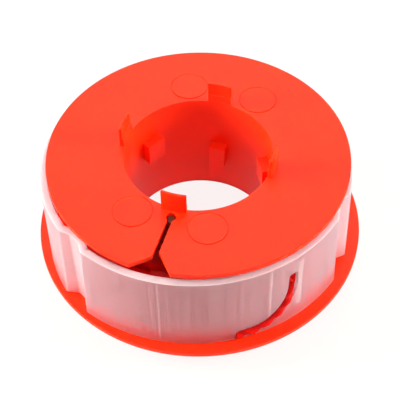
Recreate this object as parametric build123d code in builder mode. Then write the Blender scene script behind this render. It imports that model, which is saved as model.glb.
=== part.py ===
"""Trimmer line spool: a one-piece moulded spool, the line wound on it and the band around it.

The spool's axis is Z and the foot of its skirt stands on Z = 0. The line anchor in the upper
flange points along -Y. Sizes are in millimetres, angles in degrees counted from +X about Z.
"""

import os
from math import atan2, cos, floor, radians, sin, sqrt, tan

from build123d import *

# Spool heights, from the foot of the skirt upwards
skirt_height = 5.3
lower_flange_thickness = 1.5
winding_gap = 25.2
upper_flange_thickness = 1.5

# Spool radii
bore_radius = 19.75
hub_wall = 1.65
lower_flange_radius = 44.8
upper_flange_radius = 40.0
flange_edge_round = 0.4

# Below the mould's parting line the bore steps out and flares towards the skirt's mouth
parting_height = 9.8
parting_step = 0.2
mouth_flare = 0.6

# Snap hooks on the bore's upper edge, set back on their inner face above a ledge
hook_count = 4
hook_angle = 18.6
hook_wall = 1.15
hook_height = 6.2
ledge_height = 2.4
ledge_depth = 0.35
hook_tip_round = 0.25

# Indexing lugs in the bore: an upper and a lower row, the lower ones with a ramp underneath
lug_count = 3
first_upper_lug_angle = 30.0
first_lower_lug_angle = 90.0
lug_reach = 2.75
lug_width = 5.7
lug_row_height = 17.9
upper_lug_height = 6.6
ramp_high_drop = 6.7
ramp_low_drop = 16.0

# Line anchor in the upper flange: a hole, a narrow slot and a skewed V-notch at the rim
anchor_slot_width = 1.35
notch_root_radius = 34.9
notch_skew = 0.8
notch_width = 10.6

# Ejector pin marks on the upper flange
pin_mark_radius = 4.85
pin_mark_ring_radius = 25.7
pin_mark_pitch = 45.0
pin_mark_depth = 0.15

# Cutting line: the winding, its free end laid in the line exit and its start in the anchor
line_diameter = 2.4
line_clearance = 0.15
winding_clearance = 0.6
turn_groove_depth = 0.6
turn_crest_width = 1.0
tail_root_run = 10.0
tail_turn_radius = 5.0
tail_end_turn = 88.0
tail_proud = 0.3
line_end_drop = 0.6

# Retaining band: three panels whose ends bow out, most at the foot, joined by three dents
band_wall = 1.2
band_clearance = 0.4
band_shift = 1.0
band_shift_angle = -118.0
panel_radius = 40.9
panel_bow_top = 0.3
panel_bow_foot = 1.2
dent_angles = (-122.0, -6.5, 115.75)
dent_depth = 1.1
dent_floor_width = 3.6
dent_mouth_width = 8.8
dent_round = 0.9
rim_round = 0.3

# Line exit in the band: a narrowing head, a quarter bend over a tongue and a mouth at the foot
exit_angle = -46.0
exit_offset = 6.6
exit_width = 3.0
exit_head_height = 19.2
exit_head_width = 1.9
exit_head_round = 0.4
exit_bend_radius = 13.3
exit_mouth_length = 2.7
exit_mouth_round = 2.0
tongue_tip_height = 0.4

# Worked out from the sizes above
hub_radius = bore_radius + hub_wall
lower_flange_top = skirt_height + lower_flange_thickness
upper_flange_foot = lower_flange_top + winding_gap
spool_top = upper_flange_foot + upper_flange_thickness
line_radius = line_diameter / 2
anchor_hole_radius = line_radius + line_clearance
anchor_radius = hub_radius + anchor_hole_radius
turn_count = floor((winding_gap - line_clearance) / line_diameter)
winding_foot = lower_flange_top + line_clearance / 2
winding_top = winding_foot + turn_count * line_diameter
dent_radius = panel_radius - dent_depth
winding_radius = dent_radius - band_wall - band_shift - winding_clearance
tail_inner_radius = panel_radius - band_wall - 2 * line_clearance - line_radius
tail_outer_radius = panel_radius + tail_proud - line_radius
exit_bend_height = tongue_tip_height + exit_width / 2 + exit_bend_radius
exit_bend_offset = exit_offset - exit_bend_radius
band_foot = lower_flange_top
band_top = upper_flange_foot - band_clearance
band_centre = (
    band_shift * cos(radians(band_shift_angle)),
    band_shift * sin(radians(band_shift_angle)),
)


def section_plane(angle):
    """Plane through the spool's axis: X runs outwards along a radius, Y runs up."""
    turn = radians(angle)
    return Plane(
        origin=(0, 0, 0),
        x_dir=(cos(turn), sin(turn), 0),
        z_dir=(sin(turn), -cos(turn), 0),
    )


def facing_plane(angle, distance, centre=(0.0, 0.0)):
    """Plane square to a radius at a distance from centre: X runs anticlockwise, Y runs up."""
    turn = radians(angle)
    return Plane(
        origin=(centre[0] + distance * cos(turn), centre[1] + distance * sin(turn), 0),
        x_dir=(-sin(turn), cos(turn), 0),
        z_dir=(cos(turn), sin(turn), 0),
    )


def beside_radius(angle, distance, sideways):
    """Point at a distance along a radius and then sideways from it, anticlockwise."""
    turn = radians(angle)
    return (
        distance * cos(turn) - sideways * sin(turn),
        distance * sin(turn) + sideways * cos(turn),
    )


def tail_point(sideways, rise, radius):
    """Point at a radius about the band's middle, sideways from the exit and above its foot."""
    x, y = beside_radius(exit_angle, sqrt(radius**2 - sideways**2), sideways)
    return (band_centre[0] + x, band_centre[1] + y, band_foot + rise)


def exit_bend_point(part, radius):
    """Point on the free end in the exit's bend, a part of the way from the stem to the line's end."""
    turn = radians(part * tail_end_turn)
    return tail_point(
        exit_bend_offset + exit_bend_radius * cos(turn),
        exit_bend_height - exit_bend_radius * sin(turn),
        radius,
    )


def band_face(height, panel_bow, inset):
    """Sketch of the band's plan at a height, drawn inset from its outer face."""
    panel_end = panel_radius + panel_bow
    flank_run = (dent_mouth_width - dent_floor_width) / 2
    flank_angle = atan2(panel_end - dent_radius, flank_run)
    spread = inset * tan(flank_angle / 2)
    half_floor = dent_floor_width / 2 + spread
    half_mouth = dent_mouth_width / 2 + spread
    with BuildSketch(Plane(origin=(*band_centre, height))) as plan:
        with BuildLine():
            for dent, angle in enumerate(dent_angles):
                next_angle = dent_angles[(dent + 1) % len(dent_angles)]
                panel_span = (next_angle - angle) % 360
                panel_start = beside_radius(angle, panel_end - inset, half_mouth)
                panel_stop = beside_radius(next_angle, panel_end - inset, -half_mouth)
                panel_middle = beside_radius(angle + panel_span / 2, panel_radius - inset, 0)
                Polyline(
                    beside_radius(angle, panel_end - inset, -half_mouth),
                    beside_radius(angle, dent_radius - inset, -half_floor),
                    beside_radius(angle, dent_radius - inset, half_floor),
                    panel_start,
                )
                ThreePointArc(panel_start, panel_middle, panel_stop)
        make_face()
        fillet(plan.vertices(), radius=dent_round)
    return plan.sketch


# Spool: hub, skirt and both flanges are one turned section
with BuildPart() as spool:
    with BuildSketch(section_plane(0)) as section:
        with BuildLine():
            Polyline(
                (bore_radius + mouth_flare, 0),
                (hub_radius, 0),
                (hub_radius, skirt_height),
                (lower_flange_radius, skirt_height),
                (lower_flange_radius, lower_flange_top),
                (hub_radius, lower_flange_top),
                (hub_radius, upper_flange_foot),
                (upper_flange_radius, upper_flange_foot),
                (upper_flange_radius, spool_top),
                (bore_radius, spool_top),
                (bore_radius, parting_height),
                (bore_radius + parting_step, parting_height),
                close=True,
            )
        make_face()
        rims = section.vertices().filter_by(lambda vertex: vertex.X > hub_radius + hub_wall)
        fillet(rims, radius=flange_edge_round)
    revolve(axis=Axis.Z)

    # Indexing lugs, rooted halfway into what the flared bore leaves of the hub's wall
    lug_length = lug_reach + (mouth_flare + hub_wall) / 2
    for row in range(lug_count):
        upper_angle = first_upper_lug_angle + row * 360 / lug_count
        with BuildSketch(facing_plane(upper_angle, bore_radius - lug_reach)):
            with Locations((0, lug_row_height)):
                Rectangle(lug_width, upper_lug_height, align=(Align.CENTER, Align.MIN))
        extrude(amount=lug_length)
        lower_angle = first_lower_lug_angle + row * 360 / lug_count
        with BuildSketch(facing_plane(lower_angle, bore_radius - lug_reach)):
            with BuildLine():
                Polyline(
                    (-lug_width / 2, lug_row_height),
                    (lug_width / 2, lug_row_height),
                    (lug_width / 2, lug_row_height - ramp_low_drop),
                    (-lug_width / 2, lug_row_height - ramp_high_drop),
                    close=True,
                )
            make_face()
        extrude(amount=lug_length)

    # Snap hooks, the first one in line with the anchor
    hook_root = spool_top - upper_flange_thickness / 2
    hook_top = spool_top + hook_height
    for hook in range(hook_count):
        hook_centre = hook * 360 / hook_count - 90
        with BuildSketch(section_plane(hook_centre - hook_angle / 2)) as hook_section:
            with BuildLine():
                Polyline(
                    (bore_radius, spool_top),
                    (bore_radius + ledge_depth, spool_top),
                    (bore_radius + ledge_depth, hook_root),
                    (bore_radius + hook_wall, hook_root),
                    (bore_radius + hook_wall, hook_top),
                    (bore_radius + ledge_depth, hook_top),
                    (bore_radius + ledge_depth, spool_top + ledge_height),
                    (bore_radius, spool_top + ledge_height),
                    close=True,
                )
            make_face()
            fillet(hook_section.vertices().group_by(Axis.Y)[-1], radius=hook_tip_round)
        revolve(axis=Axis.Z, revolution_arc=hook_angle)

    # Line anchor, cut through the upper flange
    notch_rim = sqrt(upper_flange_radius**2 - (notch_width / 2) ** 2)
    with BuildSketch(Plane.XY.offset(spool_top)):
        with Locations((0, -anchor_radius)):
            Circle(anchor_hole_radius)
        with BuildLine():
            Polyline(
                (-anchor_slot_width / 2, -anchor_radius),
                (-anchor_slot_width / 2, -notch_root_radius - notch_skew),
                (-notch_width / 2, -notch_rim),
                (-notch_width / 2, -upper_flange_radius),
                (notch_width / 2, -upper_flange_radius),
                (notch_width / 2, -notch_rim),
                (anchor_slot_width / 2, -notch_root_radius + notch_skew),
                (anchor_slot_width / 2, -anchor_radius),
                close=True,
            )
        make_face()
    extrude(amount=-upper_flange_thickness, mode=Mode.SUBTRACT)

    # Ejector pin marks, a pair on the anchor's side and a pair opposite
    with BuildSketch(Plane.XY.offset(spool_top)):
        for side in (-90, 90):
            with PolarLocations(
                pin_mark_ring_radius,
                2,
                start_angle=side - pin_mark_pitch / 2,
                angular_range=pin_mark_pitch,
                endpoint=True,
            ):
                Circle(pin_mark_radius)
    extrude(amount=-pin_mark_depth, mode=Mode.SUBTRACT)

# Line: each turn of the winding's outer layer shows as a ridge
with BuildPart() as trimmer_line:
    with BuildSketch(section_plane(0)):
        with BuildLine():
            for turn in range(turn_count):
                turn_middle = winding_foot + (turn + 0.5) * line_diameter
                Polyline(
                    (winding_radius - turn_groove_depth, turn_middle - line_radius),
                    (winding_radius, turn_middle - turn_crest_width / 2),
                    (winding_radius, turn_middle + turn_crest_width / 2),
                    (winding_radius - turn_groove_depth, turn_middle + line_radius),
                )
            Polyline(
                (winding_radius - turn_groove_depth, winding_foot),
                (hub_radius + line_clearance / 2, winding_foot),
                (hub_radius + line_clearance / 2, winding_top),
                (winding_radius - turn_groove_depth, winding_top),
            )
        make_face()
    revolve(axis=Axis.Z)

    # Free end: it leaves the winding behind the band, turns down and lies in the line exit
    turn_top = exit_bend_height + line_radius
    turn_start = exit_offset - tail_turn_radius
    turn_half = tail_turn_radius * sin(radians(45))
    with BuildLine() as tail_path:
        Spline(
            tail_point(turn_start - tail_root_run, turn_top, winding_radius - line_radius),
            tail_point(turn_start, turn_top, tail_inner_radius),
            tail_point(turn_start + turn_half, turn_top - tail_turn_radius + turn_half, tail_inner_radius),
            exit_bend_point(0.17, (tail_inner_radius + 2 * tail_outer_radius) / 3),
            *(exit_bend_point(part, tail_outer_radius) for part in (0.34, 0.56, 0.78, 1)),
            tangents=((*beside_radius(exit_angle, 0, 1), 0), (*beside_radius(exit_angle, 0, -1), 0)),
        )
    tail_wire = tail_path.wires()[0]
    with BuildSketch(Plane(origin=tail_wire @ 0, z_dir=tail_wire % 0)):
        Circle(line_radius)
    sweep(path=tail_wire)

    # Anchored end: it stands in the flange's anchor hole
    with BuildSketch(Plane.XY.offset(winding_top - line_radius)):
        with Locations((0, -anchor_radius)):
            Circle(line_radius)
    extrude(amount=spool_top - line_end_drop - winding_top + line_radius)

# Retaining band: outer form less its hollow
with BuildPart() as band_hollow:
    loft(
        [
            band_face(band_foot, panel_bow_foot, band_wall),
            band_face(band_top, panel_bow_top, band_wall),
        ],
        ruled=True,
    )

with BuildPart() as retaining_band:
    loft(
        [
            band_face(band_foot, panel_bow_foot, 0),
            band_face(band_top, panel_bow_top, 0),
        ],
        ruled=True,
    )
    add(band_hollow.part, mode=Mode.SUBTRACT)
    fillet(retaining_band.edges().group_by(Axis.Z)[-1], radius=rim_round)

    # Line exit, both edges of its bend about the same centre
    exit_head = band_foot + exit_head_height
    bend_height = band_foot + exit_bend_height
    mouth_end = exit_bend_offset - exit_mouth_length
    exit_reach = dent_radius - 2 * band_wall
    with BuildSketch(facing_plane(exit_angle, exit_reach, band_centre)) as exit_outline:
        with BuildLine():
            edges = []
            for side in (-1, 1):
                head_corner = (exit_offset + side * exit_head_width / 2, exit_head)
                edge_radius = exit_bend_radius + side * exit_width / 2
                bend = CenterArc((exit_bend_offset, bend_height), edge_radius, 0, -90)
                Line(head_corner, bend @ 0)
                edges.append((head_corner, bend @ 1))
            Line(edges[0][0], edges[1][0])
            Polyline(
                edges[0][1],
                (mouth_end, edges[0][1].Y),
                (mouth_end, band_foot - band_wall),
                (edges[1][1].X, band_foot - band_wall),
                edges[1][1],
            )
        make_face()
        fillet(exit_outline.vertices().group_by(Axis.Y)[-1], radius=exit_head_round)
        mouth_corner = exit_outline.vertices().group_by(Axis.X)[0].sort_by(Axis.Y)[-1]
        fillet(mouth_corner, radius=exit_mouth_round)
    extrude(amount=panel_radius + panel_bow_foot + band_wall - exit_reach, mode=Mode.SUBTRACT)

os.makedirs("parts", exist_ok=True)
spool.part.label = "spool"
export_step(spool.part, "parts/spool.step")
trimmer_line.part.label = "trimmer_line"
export_step(trimmer_line.part, "parts/trimmer_line.step")
retaining_band.part.label = "retaining_band"
export_step(retaining_band.part, "parts/retaining_band.step")
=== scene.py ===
"""Looks of the trimmer line spool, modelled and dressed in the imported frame.

Sizes in the classes are millimetres and degrees, as on the part's drawing: Z is the spool's axis,
the skirt's foot stands on Z = 0 and the line anchor points along -Y. Angles count from +X.
"""

import logging
from dataclasses import dataclass
from enum import Enum
from math import atan2, ceil, cos, degrees, hypot, pi, radians, sin

import bpy
from mathutils import Matrix, Vector


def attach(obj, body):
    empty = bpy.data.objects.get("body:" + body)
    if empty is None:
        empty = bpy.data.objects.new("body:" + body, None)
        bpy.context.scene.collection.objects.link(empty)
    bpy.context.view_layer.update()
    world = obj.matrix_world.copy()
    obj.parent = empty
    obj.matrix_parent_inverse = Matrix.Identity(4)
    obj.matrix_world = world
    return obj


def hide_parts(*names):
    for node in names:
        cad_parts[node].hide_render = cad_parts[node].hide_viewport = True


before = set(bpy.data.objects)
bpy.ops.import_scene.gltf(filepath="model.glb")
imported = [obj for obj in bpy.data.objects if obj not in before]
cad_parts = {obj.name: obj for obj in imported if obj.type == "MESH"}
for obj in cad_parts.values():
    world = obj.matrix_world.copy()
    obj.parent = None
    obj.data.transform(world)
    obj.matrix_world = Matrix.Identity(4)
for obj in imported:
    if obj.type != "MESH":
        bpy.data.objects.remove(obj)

LOG = logging.getLogger("trimmer_line_spool")
MM = 0.001
MERGE_DISTANCE = 0.002 * MM
PICK_DISTANCE = 0.01 * MM
ROUNDING_STEPS = 4
EASING_STEPS = 2
BODY = "root"

# Blender's numbers of a Mix node's sockets, whose names repeat
MIX_SHARE = 0
MIX_VALUE_A = 2
MIX_VALUE_B = 3
MIX_COLOUR_A = 6
MIX_COLOUR_B = 7
MIXED_COLOUR = 2


class Joining(Enum):
    """How a second mesh is worked into a first one."""

    ADD = "UNION"
    CUT = "DIFFERENCE"


def at(radius: float, angle: float, height: float) -> Vector:
    """Gives the place at a radius, an angle and a height, in metres.

    Args:
        radius: Distance from the spool's axis in millimetres.
        angle: Degrees from +X about the axis.
        height: Millimetres above the skirt's foot.

    Returns:
        The place in the frame.
    """
    turn = radians(angle)
    return Vector((radius * cos(turn), radius * sin(turn), height)) * MM


def beside(angle: float, distance: float, sideways: float, height: float) -> Vector:
    """Gives the place along a radius and then sideways from it, in metres.

    Args:
        angle: Degrees of the radius.
        distance: Millimetres along the radius.
        sideways: Millimetres square to the radius, anticlockwise.
        height: Millimetres above the skirt's foot.

    Returns:
        The place in the frame.
    """
    return at(distance, angle, height) + at(sideways, angle + 90, 0)


def select_alone(piece: bpy.types.Object) -> None:
    """Selects one piece alone and makes it the active one."""
    bpy.ops.object.select_all(action="DESELECT")
    piece.select_set(True)
    bpy.context.view_layer.objects.active = piece


def edit(piece: bpy.types.Object) -> None:
    """Opens one piece alone in edit mode, with all of it selected."""
    select_alone(piece)
    bpy.ops.object.mode_set(mode="EDIT")
    bpy.ops.mesh.select_all(action="SELECT")


def leave_edit() -> None:
    """Goes back to object mode."""
    bpy.ops.object.mode_set(mode="OBJECT")


def face_outwards() -> None:
    """Merges the doubles of the piece in edit mode and turns its faces outwards."""
    bpy.ops.mesh.select_all(action="SELECT")
    bpy.ops.mesh.remove_doubles(threshold=MERGE_DISTANCE)
    bpy.ops.mesh.normals_make_consistent(inside=False)


def draw_outline(name: str, points: list[Vector]) -> bpy.types.Object:
    """Draws a closed outline by extruding one vertex from point to point.

    Args:
        name: Name of the new piece.
        points: Corners of the outline in order.

    Returns:
        The piece, left in object mode.
    """
    bpy.ops.object.select_all(action="DESELECT")
    bpy.ops.mesh.primitive_plane_add(size=MM)
    piece = bpy.context.object
    piece.name = name
    piece.data.name = name
    edit(piece)
    bpy.ops.mesh.merge(type="CENTER")
    bpy.ops.transform.translate(value=points[0])
    for here, there in zip(points, points[1:] + points[:1]):
        bpy.ops.mesh.extrude_vertices_move(TRANSFORM_OT_translate={"value": there - here})
    bpy.ops.mesh.select_all(action="SELECT")
    bpy.ops.mesh.remove_doubles(threshold=MERGE_DISTANCE)
    leave_edit()
    return piece


def round_corners(
    piece: bpy.types.Object, corners: list[Vector], reach: float, steps: int = ROUNDING_STEPS
) -> None:
    """Rounds corners of a drawn outline, picked by their place.

    Args:
        piece: The outline.
        corners: Places of the corners.
        reach: Millimetres that the rounding takes from each side of a corner.
        steps: Straight steps in each rounding.
    """
    for vertex in piece.data.vertices:
        vertex.select = any((vertex.co - corner).length < PICK_DISTANCE for corner in corners)
    for edge in piece.data.edges:
        edge.select = False
    bpy.context.view_layer.objects.active = piece
    bpy.ops.object.mode_set(mode="EDIT")
    bpy.ops.mesh.bevel(affect="VERTICES", offset=reach * MM, segments=steps)
    leave_edit()


def spin_outline(piece: bpy.types.Object, steps: int, sweep: float = 360.0) -> None:
    """Spins a drawn outline about the spool's axis to a closed solid.

    Args:
        piece: The outline, which becomes the solid.
        steps: Steps of the spin.
        sweep: Degrees anticlockwise.
    """
    edit(piece)
    bpy.ops.mesh.spin(steps=steps, angle=-radians(sweep), center=(0, 0, 0), axis=(0, 0, 1))
    bpy.ops.mesh.select_all(action="SELECT")
    bpy.ops.mesh.remove_doubles(threshold=MERGE_DISTANCE)
    if sweep < 360:
        bpy.ops.mesh.fill_holes(sides=0)
    face_outwards()
    leave_edit()


def push_outline(piece: bpy.types.Object, push: Vector) -> None:
    """Fills a drawn outline and extrudes it to a prism.

    Args:
        piece: The outline, which becomes the prism.
        push: Way and length of the extrusion in metres.
    """
    edit(piece)
    bpy.ops.mesh.edge_face_add()
    bpy.ops.mesh.extrude_region_move(TRANSFORM_OT_translate={"value": push})
    face_outwards()
    leave_edit()


def join_pieces(pieces: list[bpy.types.Object]) -> bpy.types.Object:
    """Joins pieces into the first of them and gives it back."""
    bpy.ops.object.select_all(action="DESELECT")
    for piece in pieces:
        piece.select_set(True)
    bpy.context.view_layer.objects.active = pieces[0]
    bpy.ops.object.join()
    return pieces[0]


def copies_around(piece: bpy.types.Object, count: int) -> bpy.types.Object:
    """Copies a piece evenly about the spool's axis and joins the copies.

    Args:
        piece: The piece to copy.
        count: Number of pieces with the first.

    Returns:
        One piece that holds them all.
    """
    ring = [piece]
    for step in range(1, count):
        select_alone(piece)
        bpy.ops.object.duplicate()
        bpy.ops.transform.rotate(value=2 * pi * step / count, orient_axis="Z", center_override=(0, 0, 0))
        bpy.ops.object.transform_apply(location=True, rotation=True, scale=True)
        ring.append(bpy.context.object)
    return join_pieces(ring)


def work_in(piece: bpy.types.Object, tool: bpy.types.Object, how: Joining) -> None:
    """Adds a second mesh to a piece or cuts it away, and removes the second mesh.

    Args:
        piece: The piece that stays.
        tool: The mesh that is added or cut away.
        how: Which of the two.
    """
    select_alone(piece)
    step = piece.modifiers.new("work_in", "BOOLEAN")
    step.operation = how.value
    step.solver = "EXACT"
    step.object = tool
    bpy.ops.object.modifier_apply(modifier=step.name)
    bpy.data.objects.remove(tool, do_unlink=True)


def ease_edges(piece: bpy.types.Object, width: float, sharper_than: float) -> None:
    """Breaks the sharp edges of a piece with a small rounding.

    Args:
        piece: The piece.
        width: Millimetres that the rounding takes from each face.
        sharper_than: Degrees from which an edge counts as sharp.
    """
    select_alone(piece)
    easing = piece.modifiers.new("eased_edges", "BEVEL")
    easing.width = width * MM
    easing.segments = EASING_STEPS
    easing.limit_method = "ANGLE"
    easing.angle_limit = radians(sharper_than)
    bpy.ops.object.modifier_apply(modifier=easing.name)


def smooth_faces(piece: bpy.types.Object, sharper_than: float) -> None:
    """Smooths a piece's shading, so that broad faces stay flat and only narrow roundings turn.

    Args:
        piece: The piece.
        sharper_than: Degrees from which an edge stays sharp.
    """
    select_alone(piece)
    bpy.ops.object.shade_smooth_by_angle(angle=radians(sharper_than))
    shading = piece.modifiers.new("even_shading", "WEIGHTED_NORMAL")
    shading.keep_sharp = True
    bpy.ops.object.modifier_apply(modifier=shading.name)


def put_in_place(piece: bpy.types.Object, node: str) -> None:
    """Lets a piece ride on the part in place of a CAD node, which it hides."""
    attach(piece, BODY)
    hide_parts(node)


def linear(colour: str) -> tuple[float, float, float, float]:
    """Turns an sRGB hex colour into the linear colour that shaders take.

    Args:
        colour: Colour as "#RRGGBB".

    Returns:
        Red, green, blue and an alpha of one.
    """
    channels = []
    for start in (1, 3, 5):
        value = int(colour[start:start + 2], 16) / 255
        channels.append(value / 12.92 if value <= 0.04045 else ((value + 0.055) / 1.055) ** 2.4)
    return (*channels, 1.0)


def add_node(
    tree: bpy.types.NodeTree,
    kind: str,
    settings: dict[str, object] | None = None,
    inputs: dict[str | int, object] | None = None,
) -> bpy.types.Node:
    """Adds a node with its settings and links.

    Args:
        tree: The tree that the node goes in.
        kind: Blender's name of the kind of node.
        settings: Properties of the node by name.
        inputs: Inputs by name or number; a socket is linked and anything else is set.

    Returns:
        The new node.
    """
    node = tree.nodes.new(kind)
    for name, value in (settings or {}).items():
        setattr(node, name, value)
    for name, value in (inputs or {}).items():
        if isinstance(value, bpy.types.NodeSocket):
            tree.links.new(value, node.inputs[name])
        else:
            node.inputs[name].default_value = value
    return node


def new_material(name: str) -> tuple[bpy.types.Material, bpy.types.NodeTree, bpy.types.Node]:
    """Makes a material with a Principled surface.

    Args:
        name: Name of the material.

    Returns:
        The material, its node tree and its surface node.
    """
    material = bpy.data.materials.new(name)
    material.use_nodes = True
    return material, material.node_tree, material.node_tree.nodes["Principled BSDF"]


def wear(piece: bpy.types.Object, material: bpy.types.Material) -> None:
    """Gives a piece one material."""
    piece.data.materials.clear()
    piece.data.materials.append(material)


@dataclass(frozen=True)
class SatinRedPlastic:
    """Red polypropylene, injection moulded in a finely eroded mould."""

    face: str = "#FE350D"
    flow: str = "#FA2E0A"
    roughness: float = 0.48
    ior: float = 1.49
    specular: float = 0.24
    depth: float = 0.8
    scatter: tuple[float, float, float] = (3.0, 0.3, 0.12)
    flow_size: float = 11.0
    grain_size: float = 0.55
    grain_depth: float = 0.03
    grain_relief: float = 0.12
    gloss_spread: float = 0.07

    def make(self) -> bpy.types.Material:
        """Builds the material: a satin red that the flow of the melt shades a little."""
        material, tree, surface = new_material("red_polypropylene_satin_moulded")
        place = add_node(tree, "ShaderNodeTexCoord").outputs["Object"]
        # Flow of the melt gives broad and faint changes of tone, with no edge to them
        flow = add_node(
            tree,
            "ShaderNodeTexNoise",
            inputs={"Vector": place, "Scale": 1 / (self.flow_size * MM), "Detail": 2.0},
        )
        tone = add_node(
            tree,
            "ShaderNodeMix",
            {"data_type": "RGBA"},
            {
                MIX_SHARE: flow.outputs["Fac"],
                MIX_COLOUR_A: linear(self.face),
                MIX_COLOUR_B: linear(self.flow),
            },
        )
        # The mould's eroded grain is about 0.1 mm and is drawn coarser here so that it shows
        grain = add_node(
            tree,
            "ShaderNodeTexNoise",
            inputs={"Vector": place, "Scale": 1 / (self.grain_size * MM), "Detail": 3.0},
        )
        gloss = add_node(
            tree,
            "ShaderNodeMapRange",
            inputs={
                "Value": grain.outputs["Fac"],
                "To Min": self.roughness - self.gloss_spread,
                "To Max": self.roughness + self.gloss_spread,
            },
        )
        relief = add_node(
            tree,
            "ShaderNodeBump",
            inputs={
                "Height": grain.outputs["Fac"],
                "Strength": self.grain_relief,
                "Distance": self.grain_depth * MM,
            },
        )
        surface.inputs["IOR"].default_value = self.ior
        surface.inputs["Specular IOR Level"].default_value = self.specular
        # Red light goes a few millimetres into the plastic, so thin hooks and edges glow
        surface.inputs["Subsurface Weight"].default_value = self.depth
        surface.inputs["Subsurface Radius"].default_value = self.scatter
        surface.inputs["Subsurface Scale"].default_value = MM
        tree.links.new(tone.outputs[MIXED_COLOUR], surface.inputs["Base Color"])
        tree.links.new(gloss.outputs["Result"], surface.inputs["Roughness"])
        tree.links.new(relief.outputs["Normal"], surface.inputs["Normal"])
        return material


@dataclass(frozen=True)
class DrawMark:
    """A milky line or stretch up the band, in degrees about its middle and in millimetres."""

    angle: float
    foot: float
    head: float
    width: float
    strength: float


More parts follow.
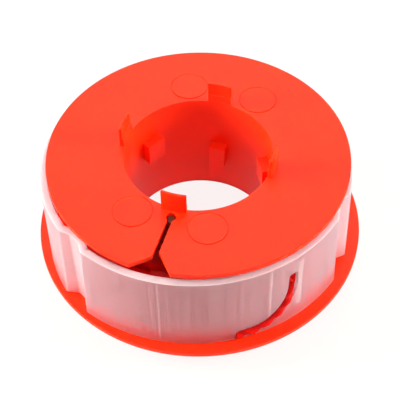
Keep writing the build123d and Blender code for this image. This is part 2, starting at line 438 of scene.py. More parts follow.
@dataclass(frozen=True)
class FrostedBandPlastic:
    """Natural polypropylene, drawn thin enough to let the red behind it through."""

    clear: str = "#FFDDE6"
    cloud: str = "#FBD2DC"
    milky: str = "#FBE4E6"
    transmission: float = 0.84
    mark_transmission: float = 0.1
    scatter: float = 2.0
    roughness: float = 0.38
    ior: float = 1.49
    cloud_size: float = 7.0
    streak_width: float = 0.3
    streak_length: float = 90.0
    streak_strength: float = 0.08
    streak_range: tuple[float, float] = (0.3, 0.7)
    streak_depth: float = 0.05
    streak_relief: float = 0.15
    gloss_spread: float = 0.08
    mark_radius: float = 40.9
    thin_height: float = 10.0
    thin_clearness: float = 0.05
    marks: tuple[DrawMark, ...] = (
        DrawMark(-86.0, 6.8, 31.6, 0.25, 0.3),
        DrawMark(-46.0, 13.0, 31.4, 0.25, 0.5),
        DrawMark(-34.1, 11.8, 29.5, 1.5, 0.2),
        DrawMark(-33.0, 11.8, 29.5, 0.25, 0.45),
    )
    dent_strength: float = 0.25
    rim_cut: float = 0.12
    foot_cut: float = 0.35
    cut_strength: float = 0.48

    def make(self, band: "RetainingBand") -> bpy.types.Material:
        """Builds the material: milky and matt, with streaks and fine lines from rim to foot.

        Args:
            band: The band, which gives the places of its rim, foot and dents.

        Returns:
            The material.
        """
        material, tree, surface = new_material("natural_polypropylene_frosted")
        place = add_node(tree, "ShaderNodeTexCoord").outputs["Object"]
        # Milky clouds where the wall is a little thicker
        clouds = add_node(
            tree,
            "ShaderNodeTexNoise",
            inputs={"Vector": place, "Scale": 1 / (self.cloud_size * MM), "Detail": 3.0},
        )
        milk = add_node(
            tree,
            "ShaderNodeMix",
            {"data_type": "RGBA"},
            {
                MIX_SHARE: clouds.outputs["Fac"],
                MIX_COLOUR_A: linear(self.clear),
                MIX_COLOUR_B: linear(self.cloud),
            },
        )
        # Streaks run up the wall, as the melt was drawn
        drawn = add_node(
            tree,
            "ShaderNodeMapping",
            inputs={
                "Vector": place,
                "Scale": (
                    1 / (self.streak_width * MM),
                    1 / (self.streak_width * MM),
                    1 / (self.streak_length * MM),
                ),
            },
        )
        streaks = add_node(
            tree,
            "ShaderNodeTexNoise",
            inputs={"Vector": drawn.outputs["Vector"], "Scale": 1.0, "Detail": 2.0},
        ).outputs["Fac"]
        marks = self._marks(tree, place, band)
        colour = add_node(
            tree,
            "ShaderNodeMix",
            {"data_type": "RGBA"},
            {
                MIX_SHARE: marks,
                MIX_COLOUR_A: milk.outputs[MIXED_COLOUR],
                MIX_COLOUR_B: linear(self.milky),
            },
        )
        clearness = add_node(
            tree,
            "ShaderNodeMapRange",
            inputs={
                "Value": streaks,
                "From Min": self.streak_range[0],
                "From Max": self.streak_range[1],
                "To Min": self.transmission - self.streak_strength,
                "To Max": self.transmission + self.streak_strength,
            },
        )
        # The wall thins towards the foot, where more of the red shows through
        height = add_node(tree, "ShaderNodeSeparateXYZ", inputs={0: place}).outputs["Z"]
        thinning = add_node(
            tree,
            "ShaderNodeMapRange",
            inputs={
                "Value": height,
                "From Min": band.foot * MM,
                "From Max": (band.foot + self.thin_height) * MM,
                "To Min": self.thin_clearness,
                "To Max": 0.0,
            },
        )
        clearer = add_node(
            tree,
            "ShaderNodeMath",
            {"operation": "ADD", "use_clamp": True},
            {0: clearness.outputs["Result"], 1: thinning.outputs["Result"]},
        )
        share = add_node(
            tree,
            "ShaderNodeMix",
            inputs={
                MIX_SHARE: marks,
                MIX_VALUE_A: clearer.outputs[0],
                MIX_VALUE_B: self.mark_transmission,
            },
        )
        gloss = add_node(
            tree,
            "ShaderNodeMapRange",
            inputs={
                "Value": streaks,
                "To Min": self.roughness - self.gloss_spread,
                "To Max": self.roughness + self.gloss_spread,
            },
        )
        relief = add_node(
            tree,
            "ShaderNodeBump",
            inputs={
                "Height": streaks,
                "Strength": self.streak_relief,
                "Distance": self.streak_depth * MM,
            },
        )
        surface.inputs["IOR"].default_value = self.ior
        # What doesn't go straight through scatters in the wall and comes out on both sides
        surface.inputs["Subsurface Weight"].default_value = 1.0
        surface.inputs["Subsurface Radius"].default_value = (self.scatter, self.scatter, self.scatter)
        surface.inputs["Subsurface Scale"].default_value = MM
        tree.links.new(colour.outputs[MIXED_COLOUR], surface.inputs["Base Color"])
        tree.links.new(share.outputs[0], surface.inputs["Transmission Weight"])
        tree.links.new(gloss.outputs["Result"], surface.inputs["Roughness"])
        tree.links.new(relief.outputs["Normal"], surface.inputs["Normal"])
        return material

    def _marks(
        self, tree: bpy.types.NodeTree, place: bpy.types.NodeSocket, band: "RetainingBand"
    ) -> bpy.types.NodeSocket:
        """Gives a socket that says how milky a place is: cut edges, pressed dents and fine lines.

        Args:
            tree: The material's node tree.
            place: Object coordinates.
            band: The band.

        Returns:
            The socket.
        """
        centred = add_node(tree, "ShaderNodeMapping", inputs={"Vector": place, "Location": -band.centre})
        axes = add_node(tree, "ShaderNodeSeparateXYZ", inputs={0: centred.outputs["Vector"]})
        angle = add_node(
            tree,
            "ShaderNodeMath",
            {"operation": "ARCTAN2"},
            {0: axes.outputs["Y"], 1: axes.outputs["X"]},
        )
        # Rim and foot were cut, and a cut edge is rough all over
        rim_edge = band.top - self.rim_cut
        foot_edge = band.foot + self.foot_cut
        from_middle = add_node(
            tree,
            "ShaderNodeMath",
            {"operation": "SUBTRACT"},
            {0: axes.outputs["Z"], 1: (rim_edge + foot_edge) / 2 * MM},
        )
        off_middle = add_node(
            tree,
            "ShaderNodeMath",
            {"operation": "ABSOLUTE"},
            {0: from_middle.outputs[0]},
        )
        at_edge = add_node(
            tree,
            "ShaderNodeMath",
            {"operation": "GREATER_THAN"},
            {0: off_middle.outputs[0], 1: (rim_edge - foot_edge) / 2 * MM},
        )
        milkiness = add_node(
            tree,
            "ShaderNodeMath",
            {"operation": "MULTIPLY"},
            {0: at_edge.outputs[0], 1: self.cut_strength},
        )
        # The dents were pressed in, which turns the plastic milky
        dents = [
            DrawMark(angle, band.foot, band.top, band.dent_mouth_width, self.dent_strength)
            for angle in band.dent_angles
        ]
        for mark in (*dents, *self.marks):
            across = add_node(
                tree,
                "ShaderNodeMath",
                {"operation": "COMPARE"},
                {0: angle.outputs[0], 1: radians(mark.angle), 2: mark.width / 2 / self.mark_radius},
            )
            along = add_node(
                tree,
                "ShaderNodeMath",
                {"operation": "COMPARE"},
                {
                    0: axes.outputs["Z"],
                    1: (mark.foot + mark.head) / 2 * MM,
                    2: (mark.head - mark.foot) / 2 * MM,
                },
            )
            line = add_node(
                tree,
                "ShaderNodeMath",
                {"operation": "MULTIPLY"},
                {0: across.outputs[0], 1: along.outputs[0]},
            )
            faint = add_node(
                tree,
                "ShaderNodeMath",
                {"operation": "MULTIPLY"},
                {0: line.outputs[0], 1: mark.strength},
            )
            milkiness = add_node(
                tree,
                "ShaderNodeMath",
                {"operation": "MAXIMUM"},
                {0: milkiness.outputs[0], 1: faint.outputs[0]},
            )
        return milkiness.outputs[0]


@dataclass(frozen=True)
class DrawnNylon:
    """Red nylon line, drawn and twisted from two strands."""

    bright: str = "#D60A06"
    deep: str = "#BE0503"
    # Colour of the painted shade on the top turns under the flange
    painted_shade: str = "#8C0302"
    cut_pale: str = "#8A706A"
    cut_dark: str = "#3A1E1A"
    roughness: float = 0.42
    gloss_rise: float = 0.05
    gloss_fall: float = 0.08
    ior: float = 1.53
    specular: float = 0.1
    depth: float = 0.4
    scatter: tuple[float, float, float] = (2.0, 0.2, 0.1)
    draw_mark: float = 1.2
    speckle_size: float = 0.5
    shade_foot: float = 26.0
    shade_head: float = 29.0
    cut_height: float = 31.9

    def make(self) -> bpy.types.Material:
        """Builds the material: glossy and deep red, with painted shade on the top turns under the flange,
        and grey where the start was cut off.
        """
        material, tree, surface = new_material("red_nylon_drawn_line")
        place = add_node(tree, "ShaderNodeTexCoord").outputs["Object"]
        marks = add_node(
            tree,
            "ShaderNodeTexNoise",
            inputs={"Vector": place, "Scale": 1 / (self.draw_mark * MM), "Detail": 2.0},
        )
        tone = add_node(
            tree,
            "ShaderNodeMix",
            {"data_type": "RGBA"},
            {
                MIX_SHARE: marks.outputs["Fac"],
                MIX_COLOUR_A: linear(self.bright),
                MIX_COLOUR_B: linear(self.deep),
            },
        )
        height = add_node(tree, "ShaderNodeSeparateXYZ", inputs={0: place}).outputs["Z"]
        # Painted shade: the turns up under the flange are drawn a deeper red, for the shade that the
        # flange casts on them
        shade = add_node(
            tree,
            "ShaderNodeMapRange",
            inputs={
                "Value": height,
                "From Min": self.shade_foot * MM,
                "From Max": self.shade_head * MM,
            },
        )
        turns = add_node(
            tree,
            "ShaderNodeMix",
            {"data_type": "RGBA"},
            {
                MIX_SHARE: shade.outputs["Result"],
                MIX_COLOUR_A: tone.outputs[MIXED_COLOUR],
                MIX_COLOUR_B: linear(self.painted_shade),
            },
        )
        # The line's start above the cut height is speckled pale grey and dark brown
        speckles = add_node(
            tree,
            "ShaderNodeTexNoise",
            inputs={"Vector": place, "Scale": 1 / (self.speckle_size * MM), "Detail": 1.0},
        )
        stump = add_node(
            tree,
            "ShaderNodeMix",
            {"data_type": "RGBA"},
            {
                MIX_SHARE: speckles.outputs["Fac"],
                MIX_COLOUR_A: linear(self.cut_pale),
                MIX_COLOUR_B: linear(self.cut_dark),
            },
        )
        cut = add_node(
            tree,
            "ShaderNodeMath",
            {"operation": "GREATER_THAN"},
            {0: height, 1: self.cut_height * MM},
        )
        ends = add_node(
            tree,
            "ShaderNodeMix",
            {"data_type": "RGBA"},
            {
                MIX_SHARE: cut.outputs[0],
                MIX_COLOUR_A: turns.outputs[MIXED_COLOUR],
                MIX_COLOUR_B: stump.outputs[MIXED_COLOUR],
            },
        )
        gloss = add_node(
            tree,
            "ShaderNodeMapRange",
            inputs={
                "Value": marks.outputs["Fac"],
                "To Min": self.roughness - self.gloss_rise,
                "To Max": self.roughness + self.gloss_fall,
            },
        )
        surface.inputs["IOR"].default_value = self.ior
        surface.inputs["Specular IOR Level"].default_value = self.specular
        # Light goes into the line and comes out deeper red
        surface.inputs["Subsurface Weight"].default_value = self.depth
        surface.inputs["Subsurface Radius"].default_value = self.scatter
        surface.inputs["Subsurface Scale"].default_value = MM
        tree.links.new(ends.outputs[MIXED_COLOUR], surface.inputs["Base Color"])
        tree.links.new(gloss.outputs["Result"], surface.inputs["Roughness"])
        return material


@dataclass
class Spool:
    """The moulded spool: hub, skirt, two flanges, snap hooks, indexing lugs and line anchor."""

    skirt_height: float = 5.3
    flange_thickness: float = 1.5
    upper_flange_foot: float = 32.0
    bore_radius: float = 19.75
    hub_radius: float = 21.4
    lower_flange_radius: float = 44.8
    upper_flange_radius: float = 40.0
    rim_round: float = 0.25
    parting_height: float = 9.8
    parting_step: float = 0.2
    mouth_flare: float = 0.6
    hook_count: int = 4
    hook_angle: float = 18.6
    hook_wall: float = 1.15
    hook_height: float = 6.2
    hook_tip_round: float = 0.25
    hook_easing: float = 0.25
    hook_steps: int = 12
    ledge_height: float = 2.4
    ledge_depth: float = 0.35
    lug_count: int = 3
    upper_lug_angle: float = 30.0
    lower_lug_angle: float = 90.0
    lug_reach: float = 2.75
    lug_root: float = 1.1
    upper_lug_width: float = 5.7
    lower_lug_width: float = 4.6
    lug_row_height: float = 17.9
    upper_lug_height: float = 6.6
    ramp_high_drop: float = 6.7
    ramp_low_drop: float = 14.4
    anchor_hole_radius: float = 1.35
    anchor_radius: float = 22.75
    anchor_slot_width: float = 1.35
    notch_root_radius: float = 34.9
    notch_skew: float = 0.8
    notch_width: float = 10.6
    pin_mark_radius: float = 4.85
    pin_mark_ring_radius: float = 25.7
    pin_mark_pitch: float = 45.0
    pin_mark_height: float = 0.1
    pin_groove_width: float = 0.3
    pin_groove_depth: float = 0.25
    spin_steps: int = 240
    anchor_hole_steps: int = 48
    pin_mark_steps: int = 96
    edge_easing: float = 0.12
    sharp_angle: float = 35.0

    @property
    def lower_flange_top(self) -> float:
        """Height of the face that the band stands on."""
        return self.skirt_height + self.flange_thickness

    @property
    def top(self) -> float:
        """Height of the upper flange's top face."""
        return self.upper_flange_foot + self.flange_thickness

    def build(self) -> bpy.types.Object:
        """Models the spool and gives it back as one piece."""
        piece = self._turned_body()
        for part in (self._hooks(), self._upper_lugs(), self._lower_lugs()):
            work_in(piece, part, Joining.ADD)
        for part in (self._anchor_hole(), self._anchor_slot()):
            work_in(piece, part, Joining.CUT)
        ease_edges(piece, self.edge_easing, self.sharp_angle)
        groove_radius = self.pin_mark_radius + self.pin_groove_width
        work_in(piece, self._pin_discs(groove_radius, self.pin_groove_depth), Joining.CUT)
        work_in(piece, self._pin_discs(self.pin_mark_radius, self.pin_mark_height), Joining.ADD)
        smooth_faces(piece, self.sharp_angle)
        put_in_place(piece, "spool")
        return piece

    def dress(self, piece: bpy.types.Object, finish: SatinRedPlastic) -> None:
        """Gives the spool its moulded finish."""
        wear(piece, finish.make())

    def _turned_body(self) -> bpy.types.Object:
        """Models hub, skirt and flanges by spinning their section."""
        rims = [
            at(self.lower_flange_radius, 0, self.skirt_height),
            at(self.lower_flange_radius, 0, self.lower_flange_top),
            at(self.upper_flange_radius, 0, self.upper_flange_foot),
            at(self.upper_flange_radius, 0, self.top),
        ]
        section = [
            at(self.bore_radius + self.mouth_flare, 0, 0),
            at(self.hub_radius, 0, 0),
            at(self.hub_radius, 0, self.skirt_height),
            *rims[:2],
            at(self.hub_radius, 0, self.lower_flange_top),
            at(self.hub_radius, 0, self.upper_flange_foot),
            *rims[2:],
            at(self.bore_radius, 0, self.top),
            at(self.bore_radius, 0, self.parting_height),
            at(self.bore_radius + self.parting_step, 0, self.parting_height),
        ]
        body = draw_outline("moulded_spool", section)
        round_corners(body, rims, self.rim_round)
        spin_outline(body, self.spin_steps)
        return body

    def _hooks(self) -> bpy.types.Object:
        """Models one snap hook by a short spin and copies it round the bore."""
        start = -90 - self.hook_angle / 2
        inner = self.bore_radius + self.ledge_depth
        outer = self.bore_radius + self.hook_wall
        root = self.top - self.flange_thickness / 2
        tip = self.top + self.hook_height
        tips = [at(outer, start, tip), at(inner, start, tip)]
        section = [
            at(self.bore_radius, start, self.top),
            at(inner, start, self.top),
            at(inner, start, root),
            at(outer, start, root),
            *tips,
            at(inner, start, self.top + self.ledge_height),
            at(self.bore_radius, start, self.top + self.ledge_height),
        ]
        hook = draw_outline("snap_hook", section)
        round_corners(hook, tips, self.hook_tip_round)
        spin_outline(hook, self.hook_steps, self.hook_angle)
        ease_edges(hook, self.hook_easing, self.sharp_angle)
        return copies_around(hook, self.hook_count)

    def _lug_ring(self, name: str, angle: float, corners: list[tuple[float, float]]) -> bpy.types.Object:
        """Models one indexing lug and copies it round the bore.

        Args:
            name: Name of the mesh while it is worked on.
            angle: Degrees of the first lug.
            corners: Corners of the lug's inner face, sideways and up, in millimetres.

        Returns:
            The lugs of one row as one mesh.
        """
        inner = self.bore_radius - self.lug_reach
        face = [beside(angle, inner, sideways, height) for sideways, height in corners]
        lug = draw_outline(name, face)
        push_outline(lug, at(self.lug_reach + self.lug_root, angle, 0))
        return copies_around(lug, self.lug_count)

    def _upper_lugs(self) -> bpy.types.Object:
        """Models the upper row of lugs, which are plain blocks."""
        half = self.upper_lug_width / 2
        foot = self.lug_row_height
        top = foot + self.upper_lug_height
        corners = [(-half, foot), (half, foot), (half, top), (-half, top)]
        return self._lug_ring("upper_lug", self.upper_lug_angle, corners)

    def _lower_lugs(self) -> bpy.types.Object:
        """Models the lower row of lugs, which have a ramp underneath."""
        half = self.lower_lug_width / 2
        top = self.lug_row_height
        corners = [
            (-half, top),
            (half, top),
            (half, top - self.ramp_low_drop),
            (-half, top - self.ramp_high_drop),
        ]
        return self._lug_ring("lower_lug", self.lower_lug_angle, corners)

    def _anchor_hole(self) -> bpy.types.Object:
        """Models the cutter of the hole that holds the line's start."""
        bpy.ops.object.select_all(action="DESELECT")
        bpy.ops.mesh.primitive_cylinder_add(
            vertices=self.anchor_hole_steps,
            radius=self.anchor_hole_radius * MM,
            depth=3 * self.flange_thickness * MM,
            location=at(self.anchor_radius, -90, self.top),
        )
        return bpy.context.object

    def _anchor_slot(self) -> bpy.types.Object:
        """Models the cutter of the narrow slot and the skewed notch at the rim."""
        half_slot = self.anchor_slot_width / 2
        half_notch = self.notch_width / 2
        rim = (self.upper_flange_radius**2 - half_notch**2) ** 0.5
        past = self.upper_flange_radius + 1
        foot = self.upper_flange_foot - self.flange_thickness / 2
        corners = [
            (-half_slot, self.anchor_radius),
            (-half_slot, self.notch_root_radius + self.notch_skew),
            (-half_notch, rim),
            (-half_notch, past),
            (half_notch, past),
            (half_notch, rim),
            (half_slot, self.notch_root_radius - self.notch_skew),
            (half_slot, self.anchor_radius),
        ]
        outline = [Vector((across, -out, foot)) * MM for across, out in corners]
        cutter = draw_outline("anchor_slot", outline)
        push_outline(cutter, at(0, 0, 2 * self.flange_thickness))
        return cutter

    def _pin_discs(self, radius: float, rise: float) -> bpy.types.Object:
        """Models discs where the ejector pins left their marks on the top face.

        Args:
            radius: Millimetres from a mark's middle.
            rise: Millimetres that the discs stand over the top face. They reach down to the groove's
                floor.

        Returns:
            The four discs as one mesh.
        """
        half_pitch = self.pin_mark_pitch / 2
        head = self.top + rise
        foot = self.top - self.pin_groove_depth
        discs = []
        for angle in [side + way * half_pitch for side in (-90, 90) for way in (-1, 1)]:
            bpy.ops.object.select_all(action="DESELECT")
            bpy.ops.mesh.primitive_cylinder_add(
                vertices=self.pin_mark_steps,
                radius=radius * MM,
                depth=(head - foot) * MM,
                location=at(self.pin_mark_ring_radius, angle, (head + foot) / 2),
            )
            discs.append(bpy.context.object)
        return join_pieces(discs)


@dataclass
class RetainingBand:
    """The frosted band round the winding, with its three dents and its line exit."""

    wall: float = 1.2
    rim_width: float = 2.0
    rim_height: float = 1.4
    foot: float = 6.8
    top: float = 31.6
    shift: float = 1.0
    shift_angle: float = -118.0
    panel_radius: float = 40.9
    panel_bow_top: float = 0.3
    panel_bow_foot: float = 1.2
    dent_angles: tuple[float, ...] = (-122.0, -6.5, 115.75)
    dent_depth: float = 1.1
    dent_floor_width: float = 3.6
    dent_mouth_width: float = 8.8
    dent_round: float = 0.35
    panel_steps: int = 56
    exit_angle: float = -46.0
    exit_offset: float = 6.6
    exit_width: float = 3.0
    exit_head_height: float = 19.2
    exit_head_width: float = 2.7
    exit_head_round: float = 0.7
    exit_bend_radius: float = 13.3
    exit_bend_steps: int = 28
    exit_mouth_length: float = 2.7
    exit_mouth_round: float = 1.9
    exit_mouth_steps: int = 8
    tongue_tip_height: float = 0.4
    tongue_gap: float = 0.5
    edge_easing: float = 0.14
    sharp_angle: float = 40.0

    @property
    def centre(self) -> Vector:
        """Place of the band's middle, which sits a little off the spool's axis."""
        return at(self.shift, self.shift_angle, 0)

    @property
    def dent_radius(self) -> float:
        """Distance of a dent's floor from the band's middle."""
        return self.panel_radius - self.dent_depth

    @property
    def exit_bend_height(self) -> float:
        """Height of the exit bend's centre over the band's foot."""
        return self.tongue_tip_height + self.exit_width / 2 + self.exit_bend_radius

    @property
    def exit_bend_offset(self) -> float:
        """Sideways place of the exit bend's centre."""
        return self.exit_offset - self.exit_bend_radius

    def at_exit(self, sideways: float, rise: float, radius: float) -> Vector:
        """Gives the place at a radius about the band's middle, near the line exit.

        Args:
            sideways: Millimetres square to the exit's radius, anticlockwise.
            rise: Millimetres above the band's foot.
            radius: Millimetres from the band's middle.

        Returns:
            The place in the frame.
        """
        out = (radius**2 - sideways**2) ** 0.5
        return self.centre + beside(self.exit_angle, out, sideways, self.foot + rise)

    def build(self) -> bpy.types.Object:
        """Models the band and gives it back as one piece."""
        foot = self._outline("band_foot", self.foot, self.panel_bow_foot)
        top = self._outline("frosted_band", self.top, self.panel_bow_top)
        band = join_pieces([top, foot])
        edit(band)
        bpy.ops.mesh.select_mode(type="EDGE")
        bpy.ops.mesh.select_all(action="SELECT")
        bpy.ops.mesh.bridge_edge_loops()
        bpy.ops.mesh.select_mode(type="VERT")
        bpy.ops.mesh.select_all(action="SELECT")
        rim_foot = at(0, 0, self.top - self.rim_height)
        bpy.ops.mesh.bisect(plane_co=rim_foot, plane_no=(0, 0, 1))
        face_outwards()
        leave_edit()
        rim = band.vertex_groups.new(name="thick_rim")
        above = rim_foot.z + MERGE_DISTANCE
        on_rim = [vertex.index for vertex in band.data.vertices if vertex.co.z > above]
        rim.add(on_rim, 1.0, "REPLACE")
        wall = band.modifiers.new("wall", "SOLIDIFY")
        wall.thickness = self.rim_width * MM
        wall.vertex_group = rim.name
        wall.thickness_vertex_group = self.wall / self.rim_width
        wall.offset = -1
        wall.use_even_offset = True
        bpy.ops.object.modifier_apply(modifier=wall.name)
        work_in(band, self._line_exit(), Joining.CUT)
        ease_edges(band, self.edge_easing, self.sharp_angle)
        smooth_faces(band, self.sharp_angle)
        put_in_place(band, "retaining_band")
        return band

    def dress(self, piece: bpy.types.Object, finish: FrostedBandPlastic) -> None:
        """Gives the band its frosted finish."""
        wear(piece, finish.make(self))

    def _outline(self, name: str, height: float, bow: float) -> bpy.types.Object:
        """Draws the band's outer plan at a height.

        Args:
            name: Name of the mesh.
            height: Millimetres above the skirt's foot.
            bow: Millimetres that the panels' ends stand out.

        Returns:
            The outline.
        """
        panel_end = self.panel_radius + bow
        half_floor = self.dent_floor_width / 2
        half_mouth = self.dent_mouth_width / 2
        mouth_radius = hypot(panel_end, half_mouth)
        mouth_angle = degrees(atan2(half_mouth, panel_end))
        plan = []
        corners = []
        for dent, angle in enumerate(self.dent_angles):
            dent_corners = [
                beside(angle, panel_end, -half_mouth, height),
                beside(angle, self.dent_radius, -half_floor, height),
                beside(angle, self.dent_radius, half_floor, height),
                beside(angle, panel_end, half_mouth, height),
            ]
            corners += dent_corners
            plan += dent_corners
            span = (self.dent_angles[(dent + 1) % len(self.dent_angles)] - angle) % 360
            half_span = span / 2 - mouth_angle
            # The panel is an arc through both mouths and the flatter middle between them
            chord = mouth_radius * sin(radians(half_span))
            rise = self.panel_radius - mouth_radius * cos(radians(half_span))
            arc_radius = (chord**2 + rise**2) / (2 * rise)
            arc_middle = self.panel_radius - arc_radius
            arc_half = degrees(atan2(chord, arc_radius - rise))
            for step in range(1, self.panel_steps):
                along = arc_half * (2 * step / self.panel_steps - 1)
                out = arc_middle + arc_radius * cos(radians(along))
                across = arc_radius * sin(radians(along))
                plan.append(beside(angle + span / 2, out, across, height))
        outline = draw_outline(name, [self.centre + point for point in plan])
        round_corners(outline, [self.centre + corner for corner in corners], self.dent_round)
        return outline

    def _line_exit(self) -> bpy.types.Object:
        """Models the cutter of the line exit: a head, a quarter bend and a mouth at the foot."""
        reach = self.dent_radius - 2 * self.wall

        def on_cutter(sideways: float, rise: float) -> Vector:
            """Gives a corner of the cutter's inner face."""
            return self.centre + beside(self.exit_angle, reach, sideways, self.foot + rise)

        edges = []
        for side in (-1, 1):
            edge = [on_cutter(self.exit_offset + side * self.exit_head_width / 2, self.exit_head_height)]
            radius = self.exit_bend_radius + side * self.exit_width / 2
            for step in range(self.exit_bend_steps + 1):
                turn = pi / 2 * step / self.exit_bend_steps
                edge.append(on_cutter(
                    self.exit_bend_offset + radius * cos(turn),
                    self.exit_bend_height - radius * sin(turn),
                ))
            edges.append(edge)
        mouth_end = self.exit_bend_offset - self.exit_mouth_length
        mouth_top = self.tongue_tip_height + self.exit_width
        mouth = [
            on_cutter(mouth_end, mouth_top),
            on_cutter(mouth_end, -self.wall),
            on_cutter(mouth_end + self.tongue_gap, -self.wall),
            on_cutter(mouth_end + self.tongue_gap, self.tongue_tip_height),
        ]
        cutter = draw_outline("line_exit", edges[0] + mouth + edges[1][::-1])
        round_corners(cutter, [mouth[0]], self.exit_mouth_round, self.exit_mouth_steps)
        round_corners(cutter, [edges[0][0], edges[1][0]], self.exit_head_round)
        depth = self.panel_radius + self.panel_bow_foot + self.wall - reach
        push_outline(cutter, at(depth, self.exit_angle, 0))
        return cutter


@dataclass
class LineWinding:
    """The wound line: its outer layer, the layers inside it, its free end and its start."""

    diameter: float = 2.4
    strand_reach: float = 1.25
    strand_waist: float = 0.8
    free_end_swell: float = 1.15
    strand_count: int = 2
    section_steps: int = 12
    twist_pitch: float = 8.0
    foot: float = 6.875
    turn_count: int = 10
    turns_short: int = 2
    outer_radius: float = 37.0
    inner_radius: float = 21.475
    points_per_turn: int = 24
    helix_start_angle: float = -92.0
    helix_slack: float = 0.05
    layer_steps: int = 12
    tail_inner_radius: float = 38.2
    tail_outer_radius: float = 40.4
    tail_shift: float = 0.3
    tail_root_run: float = 10.0
    tail_turn_radius: float = 5.0
    tail_end_turn: float = 88.0
    tail_end_run: float = 2.0
    tail_turn_stops: tuple[float, ...] = (0, 25, 50, 75)
    tail_bend_stops: tuple[float, ...] = (0.2, 0.34, 0.48, 0.62, 0.76, 0.9, 1.0)
    tail_steps: int = 14
    anchor_radius: float = 22.75
    start_top: float = 32.4
    start_steps: int = 6
    core_steps: int = 160
    ridge_steps: int = 6
    sharp_angle: float = 50.0

    @property
    def line_radius(self) -> float:
        """Half the line's diameter."""
        return self.diameter / 2

    @property
    def top(self) -> float:
        """Height of the winding's top."""
        return self.foot + self.turn_count * self.diameter

    def build(self, band: RetainingBand) -> bpy.types.Object:
        """Models the line and gives it back as one piece.

        Args:
            band: The band whose exit the free end lies in.

        Returns:
            The wound line.
        """
        parts = [self._inner_layers(), self._outer_layer(), self._free_end(band), self._start()]
        line = join_pieces(parts)
        select_alone(line)
        bpy.ops.object.shade_smooth_by_angle(angle=radians(self.sharp_angle))
        put_in_place(line, "trimmer_line")
        return line

    def dress(self, piece: bpy.types.Object, finish: DrawnNylon) -> None:
        """Gives the line its drawn finish."""
        wear(piece, finish.make())

    def _inner_layers(self) -> bpy.types.Object:
        """Models the layers under the outer one, whose turns show as ridges on top."""
        # They end half a line behind the outer layer, which leaves it in front of a dark gap
        wall = self.outer_radius - 1.5 * self.diameter
        layers = ceil((wall - self.inner_radius) / self.diameter)
        width = (wall - self.inner_radius) / layers
        section = [at(self.inner_radius, 0, self.foot), at(wall, 0, self.foot)]
        for layer in range(layers):
            middle = wall - (layer + 0.5) * width
            for step in range(self.ridge_steps + 1):
                turn = radians(180 * step / self.ridge_steps)
                section.append(at(
                    middle + width / 2 * cos(turn),
                    0,
                    self.top - self.line_radius + self.line_radius * sin(turn),
                ))
        core = draw_outline("wound_line", section)
        spin_outline(core, self.core_steps)
        return core

    def _twisted_line(
        self, name: str, route: list[Vector], resolution: int, swell: float = 1.0
    ) -> bpy.types.Object:
        """Models a length of the twisted line along a smooth route.

        Args:
            name: Name of the mesh.
            route: Control points of the route.
            resolution: Steps between control points.
            swell: How much fuller the line is than where it is wound tight.

        Returns:
            The length of line as a mesh.
        """
        bpy.ops.object.select_all(action="DESELECT")
        bpy.ops.curve.primitive_bezier_circle_add()
        section = bpy.context.object
        section.data.splines.clear()
        lobes = section.data.splines.new("POLY")
        lobes.points.add(self.section_steps - 1)
        lobes.use_cyclic_u = True
        for step, point in enumerate(lobes.points):
            turn = 360 * step / self.section_steps
            share = (1 + cos(radians(self.strand_count * turn))) / 2
            reach = self.strand_waist + (self.strand_reach - self.strand_waist) * share
            point.co = (*at(swell * reach, turn, 0), 1)
        bpy.ops.object.select_all(action="DESELECT")
        bpy.ops.curve.primitive_nurbs_path_add()
        path = bpy.context.object
        path.name = name
        path.data.name = name
        path.data.splines.clear()
        spline = path.data.splines.new("NURBS")
        spline.points.add(len(route) - 1)
        travelled = 0.0
        for index, place in enumerate(route):
            if index:
                travelled += (place - route[index - 1]).length
            spline.points[index].co = (*place, 1)
            spline.points[index].tilt = 2 * pi * travelled / (self.twist_pitch * MM)
        spline.order_u = 3
        spline.use_endpoint_u = True
        spline.resolution_u = resolution
        path.data.use_path = False
        path.data.dimensions = "3D"
        path.data.bevel_mode = "OBJECT"
        path.data.bevel_object = section
        path.data.use_fill_caps = True
        bpy.ops.object.convert(target="MESH")
        bpy.data.objects.remove(section, do_unlink=True)
        edit(path)
        face_outwards()
        leave_edit()
        return path

    def _outer_layer(self) -> bpy.types.Object:
        """Models the outer layer as one long helix of twisted line, which ends a line below the top."""
        turns = self.turn_count - self.turns_short
        pitch = self.diameter * (turns - self.helix_slack) / turns
        # A spline's turn runs inside its control points, so these stand out by as much
        spread = 1 / cos(pi / self.points_per_turn)
        radius = (self.outer_radius - self.strand_reach) * (1 + spread) / 2
        route = []
        for step in range(turns * self.points_per_turn + 1):
            part = step / self.points_per_turn
            height = self.foot + self.strand_reach + part * pitch
            route.append(at(radius, self.helix_start_angle - 360 * part, height))
        return self._twisted_line("outer_layer", route, self.layer_steps)

    def _free_end(self, band: RetainingBand) -> bpy.types.Object:
        """Models the free end, which turns down behind the band and lies in the line exit.

        Args:
            band: The band whose exit the free end lies in.

        Returns:
            The free end.
        """
        turn_top = band.exit_bend_height + self.line_radius
        turn_start = band.exit_offset + self.tail_shift - self.tail_turn_radius
        bend_radius = band.exit_bend_radius + self.tail_shift
        root_radius = self.outer_radius - self.line_radius
        route = [
            band.at_exit(turn_start - self.tail_root_run, turn_top, root_radius),
            band.at_exit(
                turn_start - self.tail_root_run / 2,
                turn_top,
                (root_radius + self.tail_inner_radius) / 2,
            ),
        ]
        for turn in self.tail_turn_stops:
            route.append(band.at_exit(
                turn_start + self.tail_turn_radius * sin(radians(turn)),
                turn_top - self.tail_turn_radius * (1 - cos(radians(turn))),
                self.tail_inner_radius,
            ))
        for part in self.tail_bend_stops:
            turn = radians(part * self.tail_end_turn)
            route.append(band.at_exit(
                band.exit_bend_offset + bend_radius * cos(turn),
                band.exit_bend_height - bend_radius * sin(turn),
                self.tail_outer_radius,
            ))
        lowest = band.exit_bend_height - bend_radius
        for run in (self.tail_end_run / 2, self.tail_end_run):
            route.append(band.at_exit(band.exit_bend_offset - run, lowest, self.tail_outer_radius))
        return self._twisted_line("free_end", route, self.tail_steps, self.free_end_swell)

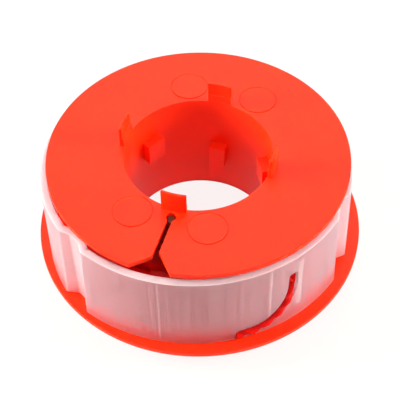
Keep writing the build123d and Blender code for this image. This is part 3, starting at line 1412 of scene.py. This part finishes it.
    def _start(self) -> bpy.types.Object:
        """Models the line's start, which stands in the flange's anchor hole."""
        foot = self.top - self.line_radius
        route = [
            at(self.anchor_radius, -90, foot + part * (self.start_top - foot)) for part in (0.0, 0.5, 1.0)
        ]
        return self._twisted_line("line_start", route, self.start_steps)


@dataclass
class SoftBox:
    """A round soft box that faces the spool: bearings in degrees, sizes in metres, power in watts."""

    name: str
    azimuth: float
    elevation: float
    distance: float
    size: float
    power: float
    mirrored: bool = True
    colour: str = "#FFFAF3"

    def put_up(self) -> None:
        """Puts the soft box up."""
        data = bpy.data.lights.new(self.name, "AREA")
        data.shape = "DISK"
        data.size = self.size
        data.energy = self.power
        data.color = linear(self.colour)[:3]
        lamp = bpy.data.objects.new(self.name, data)
        bpy.context.scene.collection.objects.link(lamp)
        rise = radians(self.elevation)
        out = at(self.distance * cos(rise), self.azimuth, self.distance * sin(rise)) / MM
        lamp.location = out
        # The side lamps stand for polarised light, which leaves no glare on the flanges
        lamp.visible_glossy = self.mirrored
        lamp.rotation_euler = (-out).to_track_quat("-Z", "Y").to_euler()


@dataclass
class Studio:
    """White floor and surroundings, soft light and the photograph's camera."""

    eye: tuple[float, float, float] = (56.395, -172.82, 225.47)
    azimuth: float = 18.0
    elevation: float = 49.24
    roll: float = -1.26
    lens: float = 90.54
    sensor_width: float = 36.0
    nearest: float = 0.01
    floor_size: float = 3.0
    floor_colour: str = "#F8F1E4"
    floor_roughness: float = 0.9
    white: str = "#FFFFFF"
    surround: float = 0.28
    glow: float = 0.85
    lamps: tuple[SoftBox, ...] = (
        SoftBox("left_soft_box", -168.0, 18.0, 0.5, 0.3, 6.0, mirrored=False),
        SoftBox("right_soft_box", 16.0, 18.0, 0.5, 0.3, 4.4, mirrored=False),
        SoftBox("back_soft_box", 105.0, 58.0, 0.5, 0.4, 0.8),
        SoftBox("front_soft_box", -72.0, 60.0, 0.5, 0.3, 0.45),
    )

    def build(self) -> None:
        """Sets up camera, floor, surroundings and lamps."""
        self._camera()
        self._floor()
        self._surroundings()
        for lamp in self.lamps:
            lamp.put_up()
        bpy.context.scene.view_settings.view_transform = "Standard"

    def _camera(self) -> None:
        """Puts the camera where the photograph was taken from."""
        data = bpy.data.cameras.new("photo_camera")
        data.lens = self.lens
        data.sensor_width = self.sensor_width
        data.clip_start = self.nearest
        camera = bpy.data.objects.new("photo_camera", data)
        bpy.context.scene.collection.objects.link(camera)
        turn = (
            Matrix.Rotation(radians(self.azimuth), 4, "Z")
            @ Matrix.Rotation(radians(90 - self.elevation), 4, "X")
            @ Matrix.Rotation(radians(self.roll), 4, "Z")
        )
        camera.rotation_euler = turn.to_euler()
        camera.location = Vector(self.eye) * MM
        bpy.context.scene.camera = camera

    def _floor(self) -> None:
        """Lays the white floor, which keeps a faint shadow."""
        bpy.ops.object.select_all(action="DESELECT")
        bpy.ops.mesh.primitive_plane_add(size=self.floor_size)
        floor = bpy.context.object
        floor.name = "floor"
        material, tree, surface = new_material("matt_white_paper")
        surface.inputs["Base Color"].default_value = linear(self.floor_colour)
        surface.inputs["Roughness"].default_value = self.floor_roughness
        seen = self._seen_rays(tree)
        share = add_node(tree, "ShaderNodeMath", {"operation": "MULTIPLY"}, {0: seen, 1: self.glow})
        glow = add_node(tree, "ShaderNodeEmission", inputs={"Color": linear(self.white), "Strength": 1.0})
        mixed = add_node(
            tree,
            "ShaderNodeMixShader",
            inputs={0: share.outputs[0], 1: surface.outputs[0], 2: glow.outputs[0]},
        )
        tree.links.new(mixed.outputs[0], tree.nodes["Material Output"].inputs["Surface"])
        wear(floor, material)

    def _surroundings(self) -> None:
        """Makes the surroundings white to look at and softer as light."""
        world = bpy.data.worlds.new("white_studio")
        world.use_nodes = True
        tree = world.node_tree
        background = tree.nodes["Background"]
        background.inputs["Color"].default_value = linear(self.white)
        strength = add_node(
            tree,
            "ShaderNodeMapRange",
            inputs={"Value": self._seen_rays(tree), "To Min": self.surround, "To Max": 1.0},
        )
        tree.links.new(strength.outputs["Result"], background.inputs["Strength"])
        bpy.context.scene.world = world

    def _seen_rays(self, tree: bpy.types.NodeTree) -> bpy.types.NodeSocket:
        """Gives a socket that is one for what is seen directly, mirrored or looked through to."""
        rays = add_node(tree, "ShaderNodeLightPath")
        mirrored = add_node(
            tree,
            "ShaderNodeMath",
            {"operation": "MAXIMUM"},
            {0: rays.outputs["Is Glossy Ray"], 1: rays.outputs["Is Transmission Ray"]},
        )
        seen = add_node(
            tree,
            "ShaderNodeMath",
            {"operation": "MAXIMUM"},
            {0: rays.outputs["Is Camera Ray"], 1: mirrored.outputs[0]},
        )
        return seen.outputs[0]


def main() -> None:
    """Builds the pieces in order, dresses them and sets up the studio."""
    logging.basicConfig(level=logging.INFO, format="%(name)s: %(message)s")
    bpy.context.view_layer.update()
    spool, band, line = Spool(), RetainingBand(), LineWinding()
    dressed = []
    for part, piece, finish in (
        (spool, spool.build(), SatinRedPlastic()),
        (band, band.build(), FrostedBandPlastic()),
        (line, line.build(band), DrawnNylon()),
    ):
        part.dress(piece, finish)
        dressed.append(piece)
    Studio().build()
    for piece in dressed:
        LOG.info("%s has %d faces", piece.name, len(piece.data.polygons))


if __name__ == "__main__":
    main()
